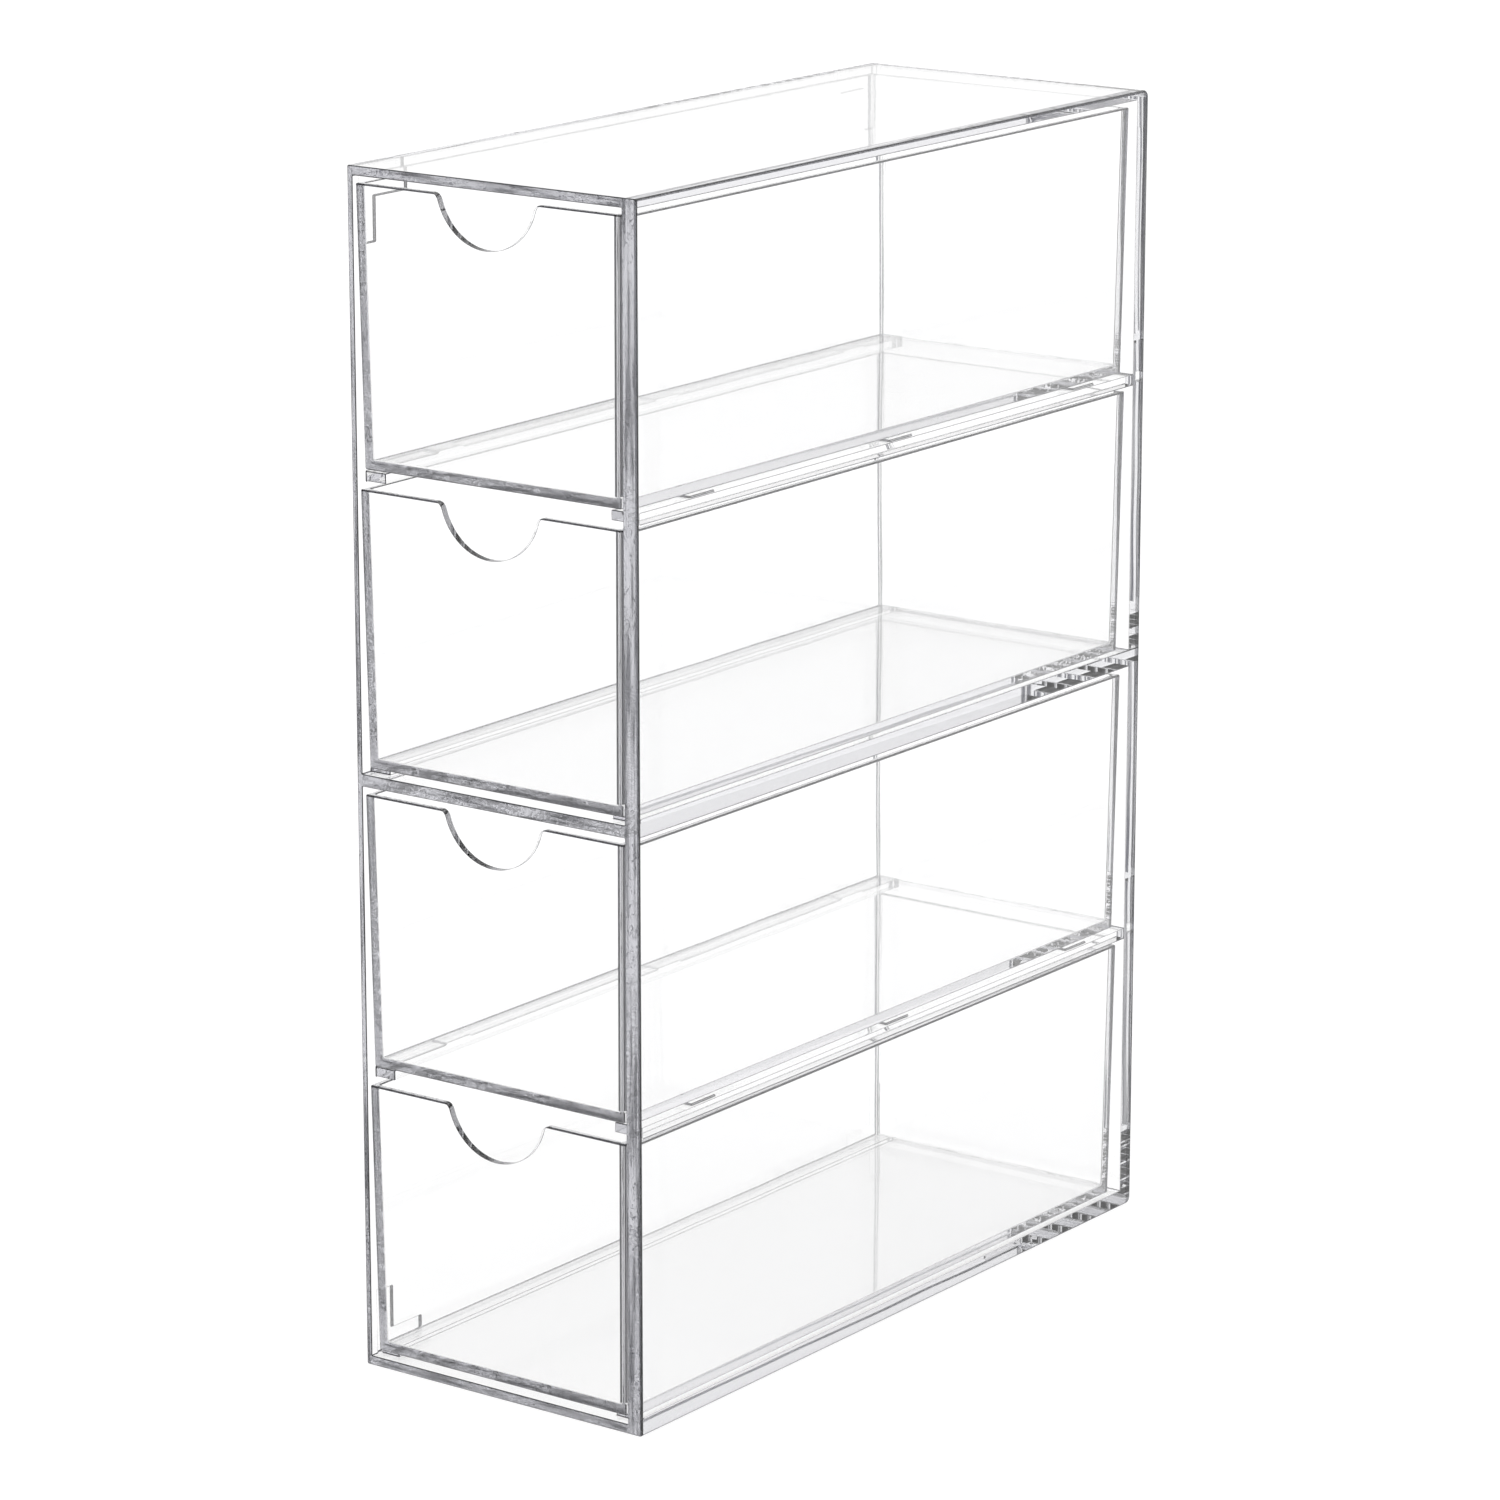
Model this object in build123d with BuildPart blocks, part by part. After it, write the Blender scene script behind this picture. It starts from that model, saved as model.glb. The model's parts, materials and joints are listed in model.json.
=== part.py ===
"""Multi glasses organizer: a tall clear case with four pull-out trays.

Frame: origin at the middle of the underside, +Z up, -Y towards the drawer
fronts, +X towards the thick side wall.  All dimensions are millimetres.
"""
from build123d import *
import os

os.makedirs("parts", exist_ok=True)

# ---- case ------------------------------------------------------------------
case_width = 71.5
case_depth = 180.0
case_height = 249.5
left_wall = 1.5
right_wall = 3.5
plate = 2.0                  # top, base and back
rim_radius = 0.5             # outer rim of both side walls
rear_radius = 1.5            # rear top and bottom corners of the case

inner_left = -case_width / 2 + left_wall
inner_right = case_width / 2 - right_wall
inner_width = inner_right - inner_left
inner_middle = (inner_left + inner_right) / 2
inner_back = case_depth / 2 - plate
front = -case_depth / 2

# ---- L-shaped corner recesses in the inner face of the thin side wall ------
corner_inset = 2.0           # recess edge to the outside of the case
corner_arm = 13.8
corner_arm_width = 4.7
corner_sink = 0.6

# ---- trays -----------------------------------------------------------------
tray_height = 57.4
tray_side_gap = 0.5          # at the rim, each side
tray_front_inset = 0.2
tray_length = 175.3
tray_width = inner_width - 2 * tray_side_gap
tray_wall = 1.5
tray_floor = 1.8
tray_draft = 0.7             # each face leans in this much from rim to foot
tray_corner_radius = 0.5
tray_inner_radius = 0.5
tray_foot_radius = 0.4
tray_floor_radius = 0.4

# ---- finger notch in each tray front ---------------------------------------
notch_radius = 12.3
notch_depth = 10.3
notch_shoulder = 2.0
notch_span = 2 * (notch_radius + 2 * notch_shoulder)
notch_reach = tray_front_inset + tray_wall + 2 * tray_draft

# ---- rests under the trays -------------------------------------------------
glide_clearance = 0.35       # tray foot above the rest that carries it
rim_clearance = 1.1          # tray rim below the runner above it
rib_height = 0.85
rib_width = 5.0
runner_height = 2.1
runner_width = 5.0
runner_front_inset = 2.8
pad_height = 0.4
pad_length = 8.0
pad_width = 4.0
pad_pitch = 67.8
pad_middle = 2.0             # middle pad, behind the middle of the case
shelf_thickness = 2.6
shelf_clearance = 1.55       # tray rim below the shelf

# ---- heights, from the base up ---------------------------------------------
tray_4_foot = plate + rib_height + glide_clearance
lower_runner = tray_4_foot + tray_height + rim_clearance
tray_3_foot = lower_runner + runner_height + pad_height + glide_clearance
shelf_foot = tray_3_foot + tray_height + shelf_clearance
shelf_top = shelf_foot + shelf_thickness
tray_2_foot = shelf_top + rib_height + glide_clearance
upper_runner = tray_2_foot + tray_height + rim_clearance
tray_1_foot = upper_runner + runner_height + pad_height + glide_clearance

rest_length = inner_back - front - runner_front_inset
rest_middle = front + runner_front_inset + rest_length / 2


def save(part, name):
    """Label one sub-part and write it out."""
    part.label = name
    export_step(part, f"parts/{name}.step")


def round_side_wall(wall, outer):
    """Round the rear corners of a side wall, then the rim of its outer face."""
    fillet(wall.edges().filter_by(Axis.X).group_by(Axis.Y)[-1], radius=rear_radius)
    outer_face = wall.faces().sort_by(Axis.X)[outer]
    fillet(outer_face.edges(), radius=rim_radius)


# ---- side walls ------------------------------------------------------------
with BuildPart() as right_side_panel:
    with BuildSketch(Plane.YZ.offset(inner_right)):
        Rectangle(case_depth, case_height, align=(Align.CENTER, Align.MIN))
    extrude(amount=right_wall)
    round_side_wall(right_side_panel, -1)
save(right_side_panel.part, "right_side_panel")

with BuildPart() as left_side_panel:
    with BuildSketch(Plane.YZ.offset(-case_width / 2)):
        Rectangle(case_depth, case_height, align=(Align.CENTER, Align.MIN))
    extrude(amount=left_wall)
    round_side_wall(left_side_panel, 0)
    reach_y = case_depth / 2 - corner_inset
    reach_z = case_height / 2 - corner_inset
    with BuildSketch(Plane.YZ.offset(inner_left)):
        for side_y in (-1, 1):
            for side_z in (-1, 1):
                with Locations((side_y * reach_y, case_height / 2 + side_z * reach_z)):
                    Rectangle(
                        corner_arm, corner_arm_width,
                        align=(Align.MAX if side_y > 0 else Align.MIN,
                               Align.MAX if side_z > 0 else Align.MIN))
                    Rectangle(
                        corner_arm_width, corner_arm,
                        align=(Align.MAX if side_y > 0 else Align.MIN,
                               Align.MAX if side_z > 0 else Align.MIN))
    extrude(amount=-corner_sink, mode=Mode.SUBTRACT)
save(left_side_panel.part, "left_side_panel")

# ---- top, base, back and shelf ---------------------------------------------
with BuildPart() as base_panel:
    with BuildSketch(Plane.XY):
        with Locations((inner_middle, 0)):
            Rectangle(inner_width, case_depth)
    extrude(amount=plate)
    rear_edges = base_panel.edges().filter_by(Axis.X).group_by(Axis.Y)[-1]
    fillet(rear_edges.sort_by(Axis.Z)[0], radius=rear_radius)
save(base_panel.part, "base_panel")

with BuildPart() as top_panel:
    with BuildSketch(Plane.XY.offset(case_height - plate)):
        with Locations((inner_middle, 0)):
            Rectangle(inner_width, case_depth)
    extrude(amount=plate)
    rear_edges = top_panel.edges().filter_by(Axis.X).group_by(Axis.Y)[-1]
    fillet(rear_edges.sort_by(Axis.Z)[-1], radius=rear_radius)
save(top_panel.part, "top_panel")

with BuildPart() as back_panel:
    with BuildSketch(Plane.XY.offset(plate)):
        with Locations((inner_middle, inner_back + plate / 2)):
            Rectangle(inner_width, plate)
    extrude(amount=case_height - 2 * plate)
save(back_panel.part, "back_panel")

with BuildPart() as middle_shelf:
    with BuildSketch(Plane.XY.offset(shelf_foot)):
        with Locations((inner_middle, (front + inner_back) / 2)):
            Rectangle(inner_width, inner_back - front)
    extrude(amount=shelf_thickness)
save(middle_shelf.part, "middle_shelf")

# ---- ribs and runners along the side walls ---------------------------------
rests = {
    "base_rib": (plate, rib_width, rib_height),
    "lower_runner": (lower_runner, runner_width, runner_height),
    "shelf_rib": (shelf_top, rib_width, rib_height),
    "upper_runner": (upper_runner, runner_width, runner_height),
}
walls = {
    "left": (inner_left, 1),
    "right": (inner_right, -1),
}
for rest_name, (rest_foot, rest_width, rest_height) in rests.items():
    for wall_name, (wall_face, inward) in walls.items():
        rest_x = wall_face + inward * rest_width / 2
        with BuildPart() as rest:
            with BuildSketch(Plane.XY.offset(rest_foot)):
                with Locations((rest_x, rest_middle)):
                    Rectangle(rest_width, rest_length)
            extrude(amount=rest_height)
        save(rest.part, f"{rest_name}_{wall_name}")

# ---- three raised glide pads on each runner --------------------------------
for rest_name in ("lower_runner", "upper_runner"):
    rest_foot, rest_width, rest_height = rests[rest_name]
    for wall_name, (wall_face, inward) in walls.items():
        pad_x = wall_face + inward * (rest_width - pad_width / 2)
        with BuildPart() as pads:
            with BuildSketch(Plane.XY.offset(rest_foot + rest_height)):
                for step in (-1, 0, 1):
                    with Locations((pad_x, pad_middle + step * pad_pitch)):
                        Rectangle(pad_width, pad_length)
            extrude(amount=pad_height)
        save(pads.part, f"{rest_name}_pads_{wall_name}")


# ---- trays -----------------------------------------------------------------
def tapered(width, length, height, lean):
    """Rim width and length narrowed to the foot, with the taper in degrees."""
    angle = -Vector(height, 0, 0).get_angle(Vector(height, lean, 0))
    return width - 2 * lean, length - 2 * lean, angle


tray_middle_y = front + tray_front_inset + tray_length / 2
foot_width, foot_length, outer_angle = tapered(
    tray_width, tray_length, tray_height, tray_draft)
hollow_height = tray_height - tray_floor
hollow_lean = tray_draft * hollow_height / tray_height
hollow_width, hollow_length, inner_angle = tapered(
    tray_width - 2 * tray_wall, tray_length - 2 * tray_wall,
    hollow_height, hollow_lean)

tray_feet = (tray_1_foot, tray_2_foot, tray_3_foot, tray_4_foot)
for number, tray_foot in enumerate(tray_feet, start=1):
    tray_rim = tray_foot + tray_height
    with BuildPart() as tray:
        with BuildSketch(Plane.XY.offset(tray_foot)):
            with Locations((inner_middle, tray_middle_y)):
                RectangleRounded(foot_width, foot_length, tray_corner_radius)
        extrude(amount=tray_height, taper=outer_angle)
        foot_face = tray.faces().sort_by(Axis.Z)[0]
        fillet(foot_face.edges(), radius=tray_foot_radius)
        with BuildSketch(Plane.XY.offset(tray_foot + tray_floor)):
            with Locations((inner_middle, tray_middle_y)):
                RectangleRounded(hollow_width, hollow_length, tray_inner_radius)
        extrude(amount=hollow_height, taper=inner_angle, mode=Mode.SUBTRACT)
        floor_face = tray.faces().filter_by(Plane.XY).sort_by(Axis.Z)[1]
        fillet(floor_face.edges(), radius=tray_floor_radius)
        with BuildSketch(Plane.XZ.offset(-front)) as notch:
            with Locations((inner_middle, tray_rim + notch_radius - notch_depth)):
                Circle(notch_radius)
            with Locations((inner_middle, tray_rim)):
                Rectangle(notch_span, notch_shoulder, align=(Align.CENTER, Align.MIN))
            notch_middle = Vector(inner_middle, tray_rim)
            shoulders = notch.vertices().sort_by_distance(notch_middle)[:2]
            fillet(shoulders, radius=notch_shoulder)
        extrude(amount=-notch_reach, mode=Mode.SUBTRACT)
    save(tray.part, f"drawer_{number}")
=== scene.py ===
import json
import math

import bmesh
import bpy
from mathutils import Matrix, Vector

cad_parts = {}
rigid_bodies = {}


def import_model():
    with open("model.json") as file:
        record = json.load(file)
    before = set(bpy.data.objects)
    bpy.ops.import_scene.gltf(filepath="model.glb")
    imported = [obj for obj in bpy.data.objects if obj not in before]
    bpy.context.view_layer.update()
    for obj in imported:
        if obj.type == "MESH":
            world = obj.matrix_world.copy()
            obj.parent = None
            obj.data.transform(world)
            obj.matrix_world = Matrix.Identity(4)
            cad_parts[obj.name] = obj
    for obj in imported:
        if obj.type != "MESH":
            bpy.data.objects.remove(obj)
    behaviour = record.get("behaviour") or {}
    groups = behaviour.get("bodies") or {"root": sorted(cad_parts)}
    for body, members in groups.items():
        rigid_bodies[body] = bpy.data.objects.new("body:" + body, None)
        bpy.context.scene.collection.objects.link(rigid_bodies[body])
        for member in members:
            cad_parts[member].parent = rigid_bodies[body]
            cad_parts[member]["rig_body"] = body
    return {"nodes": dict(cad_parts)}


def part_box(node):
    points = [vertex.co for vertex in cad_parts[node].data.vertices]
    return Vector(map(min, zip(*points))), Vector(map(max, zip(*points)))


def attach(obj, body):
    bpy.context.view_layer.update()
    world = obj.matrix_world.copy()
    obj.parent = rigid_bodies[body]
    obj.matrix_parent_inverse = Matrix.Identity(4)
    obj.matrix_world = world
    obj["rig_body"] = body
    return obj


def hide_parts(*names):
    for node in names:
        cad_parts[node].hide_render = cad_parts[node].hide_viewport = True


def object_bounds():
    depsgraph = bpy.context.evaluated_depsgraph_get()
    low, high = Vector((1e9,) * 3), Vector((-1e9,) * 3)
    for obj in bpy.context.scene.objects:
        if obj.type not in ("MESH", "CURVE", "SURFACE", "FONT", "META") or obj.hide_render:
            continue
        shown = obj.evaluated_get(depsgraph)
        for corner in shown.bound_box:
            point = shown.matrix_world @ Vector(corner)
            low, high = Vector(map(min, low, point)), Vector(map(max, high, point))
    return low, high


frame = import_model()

cad_low, cad_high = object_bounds()
MM = 0.001

# Faces are marked while the pieces are made, by the number of an empty
# material slot: plain, shaded edge or half shaded.  The marks end up in a face
# attribute that sets how much shade is painted on each small edge, in place of
# the dark lines that light shows along the edges of clear plastic.
PLAIN, SHADED_EDGE, HALF_SHADED = 0, 1, 2
EDGE_SHADE_LEVELS = (0.0, 1.0, 0.5)
FULL_SHADE_DEPTH = 18 * MM          # edges this near the front get the full painted shade, and so do those this near the thick side wall the painted shade of all other edges is this much of it
FULL_SHADE_SIDE = 8 * MM            # and so are those this near the thick side wall
FAR_SHADE_LEVEL = 0.15              # the marks of all other edges are this much of it
SHARP = 40                     # degrees: edges sharper than this are rounded


# ---------------------------------------------------------------- mesh helpers
def new_object(name, mesh):
    """A new object for a mesh, in the scene."""
    made = bpy.data.objects.new(name, mesh)
    bpy.context.scene.collection.objects.link(made)
    return made


def object_from_bmesh(name, made_bmesh):
    """Writes a bmesh to a new object with outward normals."""
    bmesh.ops.recalc_face_normals(made_bmesh, faces=made_bmesh.faces)
    mesh = bpy.data.meshes.new(name)
    made_bmesh.to_mesh(mesh)
    made_bmesh.free()
    for _ in EDGE_SHADE_LEVELS:
        mesh.materials.append(None)
    return new_object(name, mesh)


def paint(mesh, material):
    """Gives a mesh its one material, in place of its empty slots."""
    mesh.materials.clear()
    mesh.materials.append(material)


def block_bmesh(low, high):
    """A box between two corners as a bmesh."""
    made = bmesh.new()
    bmesh.ops.create_cube(made, size=1.0)
    low, high = Vector(low), Vector(high)
    for vert in made.verts:
        vert.co = Vector(
            low[i] if vert.co[i] < 0 else high[i] for i in range(3))
    return made


def prism_bmesh(ends):
    """A closed form between two outlines of as many points."""
    made = bmesh.new()
    first, last = ([made.verts.new(point) for point in end] for end in ends)
    made.faces.new(first)
    made.faces.new(list(reversed(last)))
    for i in range(len(first)):
        j = (i + 1) % len(first)
        made.faces.new((first[i], last[i], last[j], first[j]))
    return made


def prism(name, outline, y_low, y_high, mark=PLAIN):
    """A closed outline in X and Z, run from y_low to y_high."""
    made = prism_bmesh([[(x, y, z) for x, z in outline] for y in (y_low, y_high)])
    for face in made.faces:
        face.material_index = mark
    return object_from_bmesh(name, made)


def bake(target):
    """Applies the modifiers of an object to its mesh."""
    graph = bpy.context.evaluated_depsgraph_get()
    baked = bpy.data.meshes.new_from_object(target.evaluated_get(graph))
    target.modifiers.clear()
    target.data = baked


def combine(target, tools, operation):
    """Cuts the tools out of a target, or joins them to it, and removes them."""
    for tool in tools:
        step = target.modifiers.new("combine", "BOOLEAN")
        step.operation = operation
        step.solver = "EXACT"
        step.object = tool
        bake(target)
        bpy.data.objects.remove(tool)


def round_edges(target, width, segments):
    """Moulded radii on the sharp edges."""
    edge = target.modifiers.new("edges", "BEVEL")
    edge.width = width
    edge.segments = segments
    edge.limit_method = "ANGLE"
    edge.angle_limit = math.radians(SHARP)
    edge.use_clamp_overlap = True
    # the rounded faces get the full painted edge shade
    edge.material = SHADED_EDGE
    edge.miter_outer = "MITER_ARC"
    bake(target)


def smooth(target):
    """Smooth radii between flat faces that stay flat.  The marks of the faces
    end up in an attribute called "edge": how much shade is painted on each face."""
    for face in target.data.polygons:
        face.use_smooth = True
    flat = target.modifiers.new("flats", "WEIGHTED_NORMAL")
    flat.mode = "FACE_AREA"
    flat.weight = 100
    bake(target)
    mesh = target.data
    marks = mesh.attributes.new("edge", "FLOAT", "FACE")
    for face in mesh.polygons:
        level = EDGE_SHADE_LEVELS[face.material_index]
        # painted edge shade is full near the front and the thick side wall, which face the
        # camera, and weaker on all other edges
        if (face.center.y > cad_low.y + FULL_SHADE_DEPTH
                and face.center.x < cad_high.x - FULL_SHADE_SIDE):
            level *= FAR_SHADE_LEVEL
        marks.data[face.index].value = level
        face.material_index = 0
    mesh.materials.clear()


# ------------------------------------------------------------------ case shell
case_nodes = [n for n, o in frame["nodes"].items() if o["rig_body"] == "case"]
left_low, left_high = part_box("left_side_panel")
right_low, right_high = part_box("right_side_panel")
base_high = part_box("base_panel")[1]
top_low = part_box("top_panel")[0]
back_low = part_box("back_panel")[0]
shelf_low, shelf_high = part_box("middle_shelf")

REAR_RADIUS = 1.5 * MM         # rear top and bottom corners
RIM_RADIUS = 0.5 * MM          # outer rim of both side walls
MOULD_RADIUS = 0.32 * MM       # every other edge
OVERRUN = 6 * MM               # cutters run this far out of the open front
NEAR = 1e-6                    # two places closer than this are the same


def outer_block():
    """The closed outer form of the case with the rims of its side walls."""
    made = block_bmesh((left_low.x, left_low.y, left_low.z),
                       (right_high.x, right_high.y, right_high.z))
    rear = [e for e in made.edges
            if all(abs(v.co.y - left_high.y) < NEAR for v in e.verts)
            and abs(e.verts[0].co.z - e.verts[1].co.z) < NEAR]
    bmesh.ops.bevel(made, geom=rear, offset=REAR_RADIUS, segments=8,
                    profile=0.5, affect="EDGES", clamp_overlap=False)
    for side in (right_high.x, left_low.x):
        rim = [e for e in made.edges
               if all(abs(v.co.x - side) < NEAR for v in e.verts)]
        # the rounded rims get half the painted edge shade
        bmesh.ops.bevel(made, geom=rim, offset=RIM_RADIUS, segments=5,
                        profile=0.5, affect="EDGES", clamp_overlap=False,
                        material=HALF_SHADED)
    return object_from_bmesh("case_shell", made)


def bay(floor, ceiling, rib, runner):
    """One bay of two drawers, as the hollow to cut: ribs at its floor and
    runners half way up stay as plastic."""
    rib_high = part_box(f"{rib}_left")[1]
    run_low, run_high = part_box(f"{runner}_left")
    rib_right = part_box(f"{rib}_right")[0].x
    run_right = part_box(f"{runner}_right")[0].x
    left, right = left_high.x, right_low.x
    outline = [
        (rib_high.x, floor), (rib_right, floor), (rib_right, rib_high.z),
        (right, rib_high.z), (right, run_low.z), (run_right, run_low.z),
        (run_right, run_high.z), (right, run_high.z), (right, ceiling),
        (left, ceiling), (left, run_high.z), (run_high.x, run_high.z),
        (run_high.x, run_low.z), (left, run_low.z), (left, rib_high.z),
        (rib_high.x, rib_high.z),
    ]
    front = left_low.y - OVERRUN
    cuts = [prism("bay", outline, front, back_low.y)]
    for rest in (rib, runner):
        for side in ("left", "right"):
            low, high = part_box(f"{rest}_{side}")
            cuts.append(object_from_bmesh("bay", block_bmesh(
                (low.x, front, low.z), (high.x, low.y, high.z))))
    return cuts


def corner_recesses():
    """The four L-shaped recesses in the inner face of the thin wall."""
    inset, arm, width, sink = 2.0 * MM, 13.8 * MM, 4.7 * MM, 0.6 * MM
    outline = [(0, 0), (arm, 0), (arm, width), (width, width), (width, arm), (0, arm)]
    middle = (left_low + left_high) / 2
    cuts = []
    for side_y in (-1, 1):
        for side_z in (-1, 1):
            edge_y = middle.y + side_y * ((left_high.y - left_low.y) / 2 - inset)
            edge_z = middle.z + side_z * ((left_high.z - left_low.z) / 2 - inset)
            made = prism_bmesh([
                [(x, edge_y - side_y * u, edge_z - side_z * v) for u, v in outline]
                for x in (left_high.x - sink, left_high.x + sink)])
            made.normal_update()
            for face in made.faces:
                # the walls of the recesses get half the painted edge shade, their floors
                # none
                face.material_index = PLAIN if abs(face.normal.x) > 0.5 else HALF_SHADED
            cuts.append(object_from_bmesh("corner", made))
    return cuts


def glide_pads():
    """Three raised pads on each runner, sunk a little into it to join."""
    count, length, sink = 3, 8.0 * MM, 0.5 * MM
    made = []
    for runner in ("lower_runner", "upper_runner"):
        for side in ("left", "right"):
            pad_low, pad_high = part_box(f"{runner}_pads_{side}")
            pitch = (pad_high.y - pad_low.y - length) / (count - 1)
            for step in range(count):
                start = pad_low.y + step * pitch
                made.append(object_from_bmesh("pad", block_bmesh(
                    (pad_low.x, start, pad_low.z - sink),
                    (pad_high.x, start + length, pad_high.z))))
    return made


case_shell = outer_block()
combine(case_shell, bay(base_high.z, shelf_low.z, "base_rib", "lower_runner"),
        "DIFFERENCE")
combine(case_shell, bay(shelf_high.z, top_low.z, "shelf_rib", "upper_runner"),
        "DIFFERENCE")
combine(case_shell, corner_recesses(), "DIFFERENCE")
combine(case_shell, glide_pads(), "UNION")
round_edges(case_shell, MOULD_RADIUS, 2)
smooth(case_shell)
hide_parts(*case_nodes)
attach(case_shell, "case")


# --------------------------------------------------------------------- drawers
NOTCH_EDGE_RADIUS = 0.5 * MM
CORNER_STEPS = 8                             # faces round a corner of a ring
CORNERS = ((1, 1), (-1, 1), (-1, -1), (1, -1))   # signs of X and Y
SHADED_CORNERS = (0, 3)                       # the two on the thick wall's side, which get painted edge shade
RIM_RINGS = (1, 2, 3, 6, 7, 8, 11, 12, 13)   # the rings that edge the foot and rim
INNER_WALL_RINGS = (15,)                     # the ring up the inside of its walls


def ring(made, middle, width, length, radius, z):
    """A rounded rectangle of vertices round a middle point."""
    verts = []
    for turn, (sx, sy) in enumerate(CORNERS):
        cx = middle[0] + sx * (width / 2 - radius)
        cy = middle[1] + sy * (length / 2 - radius)
        for i in range(CORNER_STEPS + 1):
            a = math.pi / 2 * (turn + i / CORNER_STEPS)
            verts.append(made.verts.new(
                (cx + radius * math.cos(a), cy + radius * math.sin(a), z)))
    return verts


def quarter(steps):
    """The cosine and sine of even steps through a quarter turn."""
    for i in range(steps + 1):
        a = math.pi / 2 * i / steps
        yield math.cos(a), math.sin(a)


def tray_profile(height, wall, floor):
    """The section of a tray's wall from the foot, over the rim and down to the
    floor: how far in, how high, and the radius of the corner there."""
    outer_corner, inner_corner = 0.5 * MM, 0.5 * MM
    foot_radius, floor_radius, rim_radius = 0.4 * MM, 0.4 * MM, 0.35 * MM
    profile = []
    for cosine, sine in quarter(5):
        inset = foot_radius * (1 - sine)
        profile.append((inset, foot_radius * (1 - cosine), outer_corner - inset))
    for cosine, sine in quarter(4):
        inset = rim_radius * (1 - cosine)
        profile.append((inset, height - rim_radius * (1 - sine), outer_corner - inset))
    for cosine, sine in quarter(4):
        inset = rim_radius * (1 - sine)
        profile.append((wall - inset, height - rim_radius * (1 - cosine),
                        inner_corner + inset))
    for cosine, sine in quarter(6):
        inset = floor_radius * (1 - cosine)
        profile.append((wall + inset, floor + floor_radius * (1 - sine),
                        inner_corner - inset))
    return profile


def tray_body(low, high, wall, floor):
    """A tray with its foot at z = 0: leaning walls, rounded corners, a soft rim
    and a filleted floor."""
    middle = ((low.x + high.x) / 2, (low.y + high.y) / 2)
    width, length, height = high.x - low.x, high.y - low.y, high.z - low.z
    draft = 0.7 * MM
    made = bmesh.new()
    rings = []
    for inset, z, radius in tray_profile(height, wall, floor):
        side = inset + draft * (1 - z / height)
        rings.append(ring(made, middle, width - 2 * side, length - 2 * side, radius, z))
    for number, (a, b) in enumerate(zip(rings, rings[1:])):
        for i in range(len(a)):
            j = (i + 1) % len(a)
            face = made.faces.new((a[i], a[j], b[j], b[i]))
            turn, step = divmod(i, CORNER_STEPS + 1)
            # painted edge shade on the rings round the foot and rim, and up the inner
            # corners on the thick wall's side
            corner = (number in INNER_WALL_RINGS and turn in SHADED_CORNERS
                      and step < CORNER_STEPS)
            face.material_index = SHADED_EDGE if corner or number in RIM_RINGS else PLAIN
    made.faces.new(list(reversed(rings[0])))
    made.faces.new(rings[-1])
    return object_from_bmesh("tray", made)


def notch_cutter(low, high, wall):
    """The finger notch: part of a circle, with a rounded shoulder at each side
    that touches the rim line from below and the circle from outside."""
    radius, depth, shoulder = 12.3 * MM, 10.3 * MM, 2.0 * MM
    arc_steps, shoulder_steps, spare = 32, 8, 2 * MM
    middle, height = (low.x + high.x) / 2, high.z - low.z
    centre_z = height + radius - depth
    reach = math.sqrt((radius + shoulder) ** 2 - (centre_z - height + shoulder) ** 2)
    join = math.atan2(height - shoulder - centre_z, reach)

    def point(x, z, size, a):
        return x + size * math.cos(a), z + size * math.sin(a)

    outline = []
    for i in range(shoulder_steps + 1):
        a = math.pi / 2 + (math.pi / 2 + join) * i / shoulder_steps
        outline.append(point(middle + reach, height - shoulder, shoulder, a))
    for i in range(1, arc_steps):
        a = join - (math.pi + 2 * join) * i / arc_steps
        outline.append(point(middle, centre_z, radius, a))
    for i in range(shoulder_steps + 1):
        a = -join + (math.pi / 2 + join) * i / shoulder_steps
        outline.append(point(middle - reach, height - shoulder, shoulder, a))
    above = height + 2 * spare
    outline += [(middle - reach, above), (middle + reach, above)]
    # the cut faces of the notch get half the painted edge shade
    return prism("notch", outline, low.y - spare, low.y + wall + spare, HALF_SHADED)


def tray_mesh():
    """The mesh that the four drawers share."""
    low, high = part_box("drawer_4")
    wall, floor = 1.5 * MM, 1.8 * MM
    tray = tray_body(low, high, wall, floor)
    combine(tray, [notch_cutter(low, high, wall)], "DIFFERENCE")
    round_edges(tray, NOTCH_EDGE_RADIUS, 4)
    smooth(tray)
    mesh = tray.data
    bpy.data.objects.remove(tray)
    mesh.name = "tray"
    return mesh


tray = tray_mesh()
for number in (1, 2, 3, 4):
    drawer = new_object(f"tray_{number}", tray)
    drawer.location.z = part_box(f"drawer_{number}")[0].z
    bpy.context.view_layer.update()
    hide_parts(f"drawer_{number}")
    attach(drawer, f"drawer_{number}")


# ------------------------------------------------------------------- materials
MIX_A, MIX_B, MIX_RESULT = 6, 7, 2   # the colour sockets of a Mix node


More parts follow.
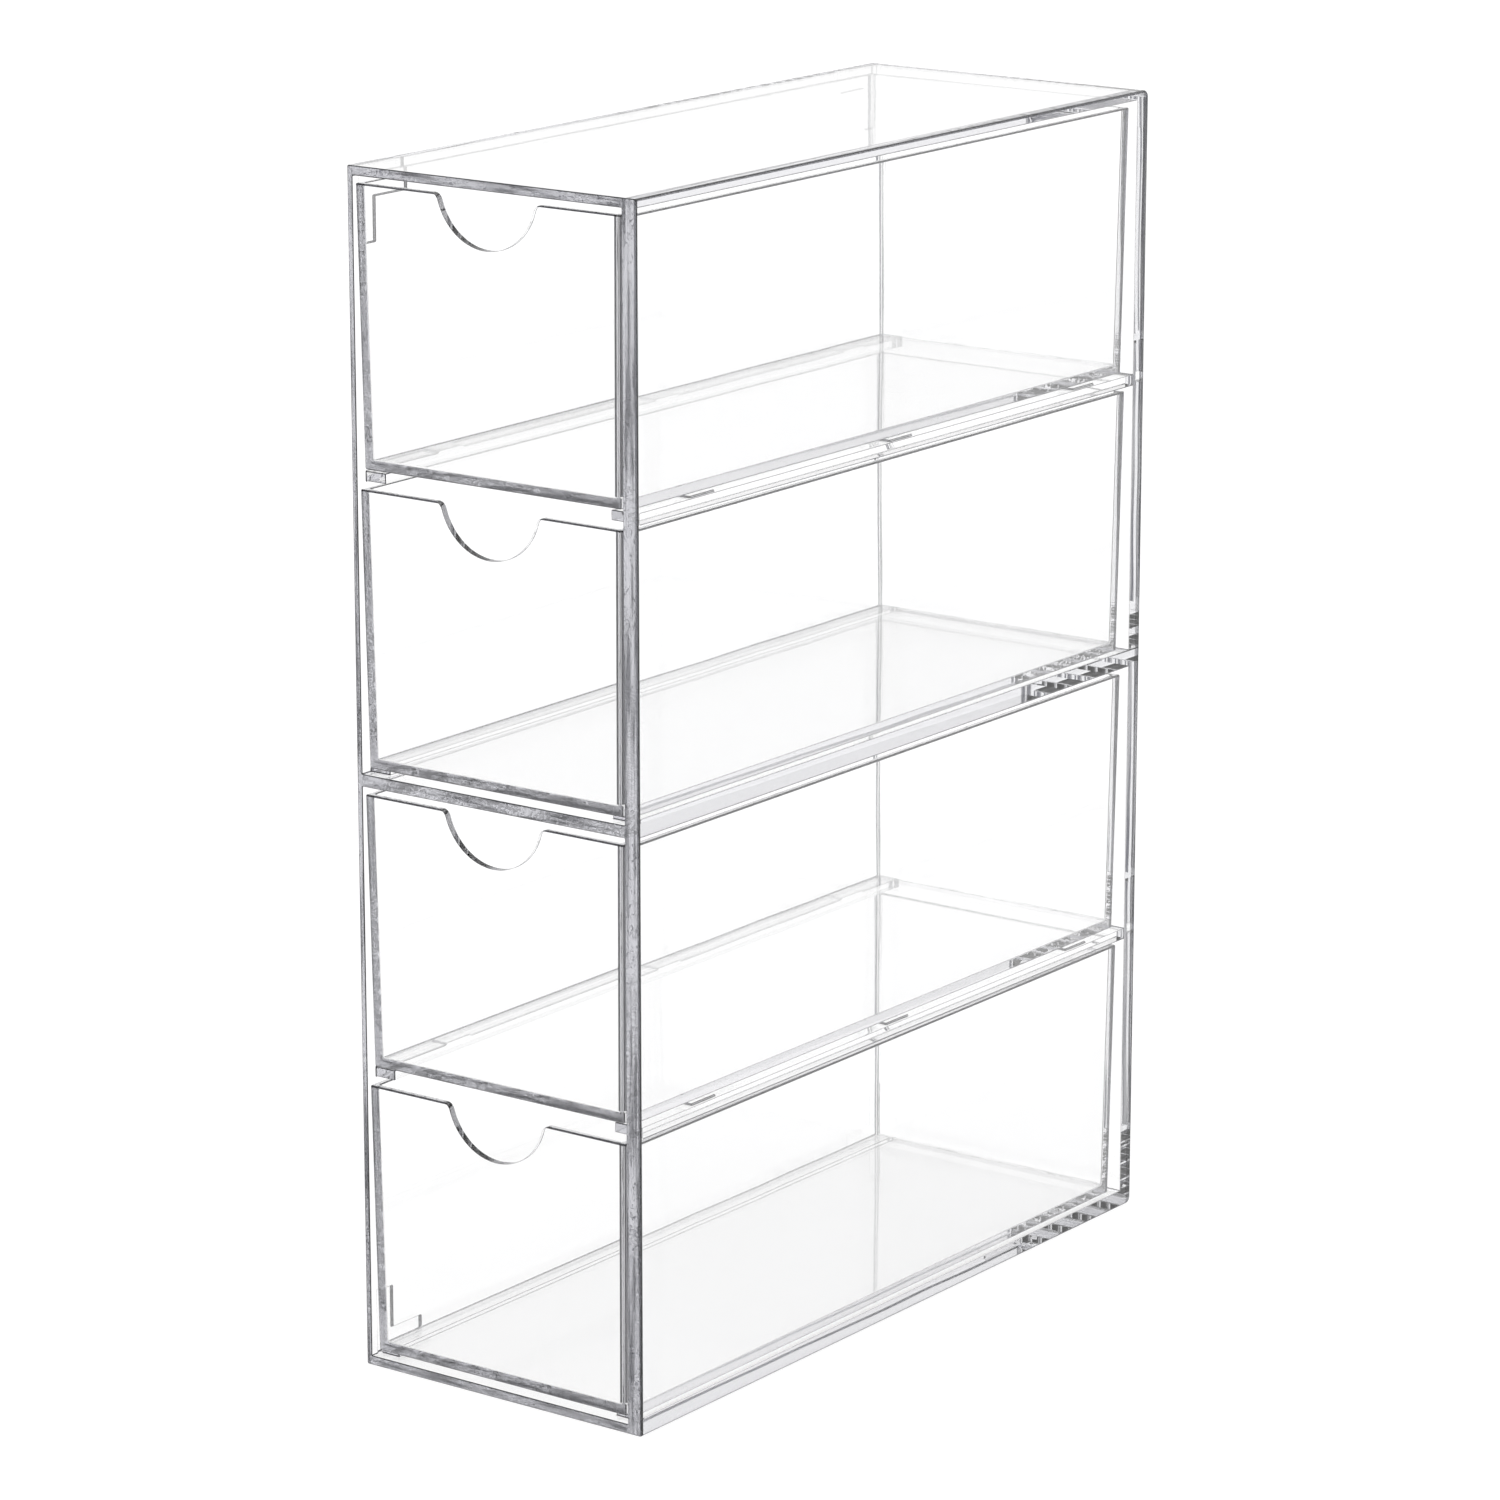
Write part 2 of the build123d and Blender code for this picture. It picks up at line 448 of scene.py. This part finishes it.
def clear_plastic(name, bands, uprights, rear, rear_light):
    """Polished clear plastic.  It greys along a long way through it, and its
    small edges have painted shade, darker than its faces.  Its narrow ends are a
    little wavy, with painted shade on them in streaks like flow lines.

    bands: where those ends are on the front, each an axis and the two places
        that a mask fades between, from 0 to 1
    uprights: in the same form, which of them stand upright
    rear: the place in Y behind which the thick side's end of the rear wall is,
    which gets painted shade
    rear_light: how much lighter than its darkest painted shade that end gets,
    from 0 to 1
    """
    made = bpy.data.materials.new(name)
    made.use_nodes = True
    nodes, links = made.node_tree.nodes, made.node_tree.links
    shader = nodes["Principled BSDF"]
    shader.inputs["Transmission Weight"].default_value = 1.0
    shader.inputs["IOR"].default_value = 1.55
    shader.inputs["Roughness"].default_value = 0.0
    place = nodes.new("ShaderNodeTexCoord")
    where = nodes.new("ShaderNodeSeparateXYZ")
    links.new(place.outputs["Object"], where.inputs["Vector"])

    def fade(value, start, end, level, least=0.0):
        """A value between start and end, turned into one from least to level."""
        ramp = nodes.new("ShaderNodeMapRange")
        ramp.inputs["From Min"].default_value = start
        ramp.inputs["From Max"].default_value = end
        ramp.inputs["To Min"].default_value = least
        ramp.inputs["To Max"].default_value = level
        links.new(value, ramp.inputs["Value"])
        return ramp.outputs["Result"]

    def join(operation, first, second):
        """Two values joined by a mathematical operation."""
        node = nodes.new("ShaderNodeMath")
        node.operation = operation
        links.new(first, node.inputs[0])
        links.new(second, node.inputs[1])
        return node.outputs["Value"]

    def within(limits):
        """1 in any of some bands, and 0 outside them."""
        mask = None
        for axis, start, end in limits:
            band = fade(where.outputs[axis], start, end, 1.0)
            mask = band if mask is None else join("MAXIMUM", mask, band)
        return mask

    def noise(vector, scale, detail):
        """A noise texture's value."""
        texture = nodes.new("ShaderNodeTexNoise")
        texture.inputs["Scale"].default_value = scale
        texture.inputs["Detail"].default_value = detail
        links.new(vector, texture.inputs["Vector"])
        return texture.outputs["Fac"]

    def bump(height, distance):
        """A bump node for a height."""
        node = nodes.new("ShaderNodeBump")
        node.inputs["Distance"].default_value = distance
        links.new(height, node.inputs["Height"])
        return node

    def shade_streaks(stretch):
        """Painted shade in streaks along one axis, from dark to light."""
        along = nodes.new("ShaderNodeMapping")
        along.inputs["Scale"].default_value = stretch
        links.new(place.outputs["Object"], along.inputs["Vector"])
        return fade(noise(along.outputs["Vector"], 900.0, 2.0), 0.39, 0.56, 1.0)

    def tones(value, *stops):
        """A colour ramp with its stops."""
        ramp = nodes.new("ShaderNodeValToRGB")
        elements = ramp.color_ramp.elements
        while len(elements) < len(stops):
            elements.new(0.5)
        for element, (position, color) in zip(elements, stops):
            element.position = position
            element.color = (*color, 1.0)
        links.new(value, ramp.inputs["Fac"])
        return ramp.outputs["Color"]

    # the narrow ends that get painted shade: those on the front, and the end of
    # the rear wall on the +X side only, the side that faces the camera
    surface = nodes.new("ShaderNodeNewGeometry")
    facing = nodes.new("ShaderNodeSeparateXYZ")
    links.new(surface.outputs["Normal"], facing.inputs["Vector"])
    front = fade(facing.outputs["Y"], -0.90, -0.98, 0.9)
    front_ends = join("MULTIPLY", front, within(bands))
    rear_ends = join("MULTIPLY", fade(facing.outputs["X"], 0.90, 0.98, 1.0),
                     within([("Y", rear - 0.1 * MM, rear + 0.1 * MM)]))

    # shape: broad waves everywhere, and fine ripples on the front ends
    waves = bump(noise(place.outputs["Object"], 26.0, 1.0), 0.0004)
    waves.inputs["Strength"].default_value = 0.15
    ripples = bump(noise(place.outputs["Object"], 300.0, 2.0), 0.0003)
    links.new(front_ends, ripples.inputs["Strength"])
    links.new(waves.outputs["Normal"], ripples.inputs["Normal"])
    links.new(ripples.outputs["Normal"], shader.inputs["Normal"])

    # colour: painted shade on the small edges, and painted shade in streaks
    # like flow lines on the ends, which run up and down on the upright ones and
    # across on the others
    edge = nodes.new("ShaderNodeAttribute")
    edge.attribute_name = "edge"
    edge_shade = tones(edge.outputs["Fac"], (0.0, (1.0, 1.0, 1.0)),
                 (0.5, (0.14, 0.14, 0.15)), (1.0, (0.006, 0.006, 0.008)))
    lines = nodes.new("ShaderNodeMix")
    links.new(within(uprights), lines.inputs["Factor"])
    links.new(shade_streaks((0.09, 1.0, 1.0)), lines.inputs["A"])
    links.new(shade_streaks((1.0, 1.0, 0.04)), lines.inputs["B"])
    # the end of the rear wall on the +X side gets darker painted shade still
    dim = fade(rear_ends, 1.0, 0.0, 1.0, rear_light)
    shade = tones(join("MULTIPLY", lines.outputs["Result"], dim),
                  (0.0, (0.02, 0.021, 0.03)), (1.0, (1.0, 1.0, 1.0)))
    # the painted shade of the ends, laid over the painted edge shade
    painted_shade = nodes.new("ShaderNodeMix")
    painted_shade.data_type = "RGBA"
    painted_shade.blend_type = "MULTIPLY"
    links.new(join("MAXIMUM", front_ends, rear_ends), painted_shade.inputs["Factor"])
    links.new(edge_shade, painted_shade.inputs[MIX_A])
    links.new(shade, painted_shade.inputs[MIX_B])
    links.new(painted_shade.outputs[MIX_RESULT], shader.inputs["Base Color"])

    absorb = nodes.new("ShaderNodeVolumeAbsorption")
    absorb.inputs["Color"].default_value = (0.80, 0.80, 0.82, 1.0)
    absorb.inputs["Density"].default_value = 15.0
    links.new(absorb.outputs["Volume"], nodes["Material Output"].inputs["Volume"])
    return made


case_front = left_low.y
paint(case_shell.data, clear_plastic(
    "clear_case_plastic",
    bands=[("Y", case_front + 1.0 * MM, case_front + 0.5 * MM)],
    uprights=[("X", left_high.x + 0.2 * MM, left_high.x),
              ("X", right_low.x - 0.2 * MM, right_low.x)],
    rear=back_low.y, rear_light=0.2))
tray_low, tray_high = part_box("drawer_4")
tray_foot = ("Z", 2.0 * MM, 1.7 * MM)
tray_left_wall = ("X", tray_low.x + 2.4 * MM, tray_low.x + 2.1 * MM)
paint(tray, clear_plastic(
    "clear_tray_plastic",
    bands=[tray_foot, tray_left_wall], uprights=[tray_left_wall],
    rear=tray_high.y - 2.0 * MM, rear_light=0.02))


# --------------------------------------------------------------- floor, studio
FLOOR_REACH = 6.0              # from the middle of the floor to its sides
FLOOR_GAP = 0.2 * MM           # below the case

floor_made = bmesh.new()
bmesh.ops.create_grid(floor_made, x_segments=2, y_segments=2, size=FLOOR_REACH)
floor = object_from_bmesh("studio_floor", floor_made)
floor.location.z = cad_low.z - FLOOR_GAP
floor_paint = bpy.data.materials.new("studio_white")
floor_paint.use_nodes = True
floor_shader = floor_paint.node_tree.nodes["Principled BSDF"]
floor_shader.inputs["Base Color"].default_value = (0.20, 0.20, 0.20, 1.0)
floor_shader.inputs["Roughness"].default_value = 0.9
floor_shader.inputs["Specular IOR Level"].default_value = 0.0
floor_shader.inputs["Emission Color"].default_value = (1.0, 1.0, 1.0, 1.0)
floor_shader.inputs["Emission Strength"].default_value = 0.92
paint(floor.data, floor_paint)

world = bpy.data.worlds.new("studio")
bpy.context.scene.world = world
world.use_nodes = True
sky_nodes, sky_links = world.node_tree.nodes, world.node_tree.links
sky = sky_nodes["Background"]
sky.inputs["Strength"].default_value = 1.0
around = sky_nodes.new("ShaderNodeTexCoord")


def light_patch(toward, start, end, level):
    """A soft-edged patch of light round one direction, between two cosines."""
    facing = sky_nodes.new("ShaderNodeVectorMath")
    facing.operation = "DOT_PRODUCT"
    facing.inputs[1].default_value = Vector(toward).normalized()
    sky_links.new(around.outputs["Generated"], facing.inputs[0])
    fade = sky_nodes.new("ShaderNodeMapRange")
    fade.interpolation_type = "SMOOTHSTEP"
    fade.inputs["From Min"].default_value = start
    fade.inputs["From Max"].default_value = end
    fade.inputs["To Min"].default_value = 0.0
    fade.inputs["To Max"].default_value = level
    sky_links.new(facing.outputs["Value"], fade.inputs["Value"])
    return fade.outputs["Result"]


DARKEST = 0.05                 # the studio outside the patches
patches = [
    light_patch((0.0, 0.0, 1.0), 0.50, 0.72, 1.5),      # overhead
    light_patch((-0.59, 0.81, 0.25), 0.55, 0.75, 1.0),  # backdrop
    light_patch((0.55, 0.80, 0.30), 0.80, 0.92, 0.6),   # behind, to the right
]
total = None
for patch in patches:
    joined = sky_nodes.new("ShaderNodeMath")
    joined.operation = "MAXIMUM"
    sky_links.new(patch, joined.inputs[0])
    if total is None:
        joined.inputs[1].default_value = DARKEST
    else:
        sky_links.new(total, joined.inputs[1])
    total = joined.outputs["Value"]
sky_links.new(total, sky.inputs["Color"])


# ---------------------------------------------------------------------- camera
SENSOR = 36                    # mm
LENS = 142.5                   # mm
YAW, PITCH = math.radians(36.291), math.radians(14.526)   # to the left, and down
LIGHT_BOUNCES = 64             # light runs along the walls by many reflections

camera_data = bpy.data.cameras.new("camera")
camera = bpy.data.objects.new("camera", camera_data)
bpy.context.scene.collection.objects.link(camera)
camera.location = (0.7123, -0.9748, 0.4304)
forward = Vector((-math.sin(YAW) * math.cos(PITCH), math.cos(YAW) * math.cos(PITCH),
                  -math.sin(PITCH)))
camera.rotation_mode = "QUATERNION"
camera.rotation_quaternion = forward.to_track_quat("-Z", "Y")
camera_data.lens = LENS
camera_data.sensor_width = SENSOR
camera_data.clip_start = 0.05
camera_data.clip_end = 50
bpy.context.scene.camera = camera

scene = bpy.context.scene
scene.view_settings.view_transform = "Standard"
scene.view_settings.look = "None"
scene.cycles.max_bounces = LIGHT_BOUNCES
scene.cycles.transmission_bounces = LIGHT_BOUNCES
scene.cycles.glossy_bounces = LIGHT_BOUNCES
scene.cycles.transparent_max_bounces = 16
scene.cycles.caustics_refractive = True
scene.cycles.caustics_reflective = True

bpy.context.view_layer.update()
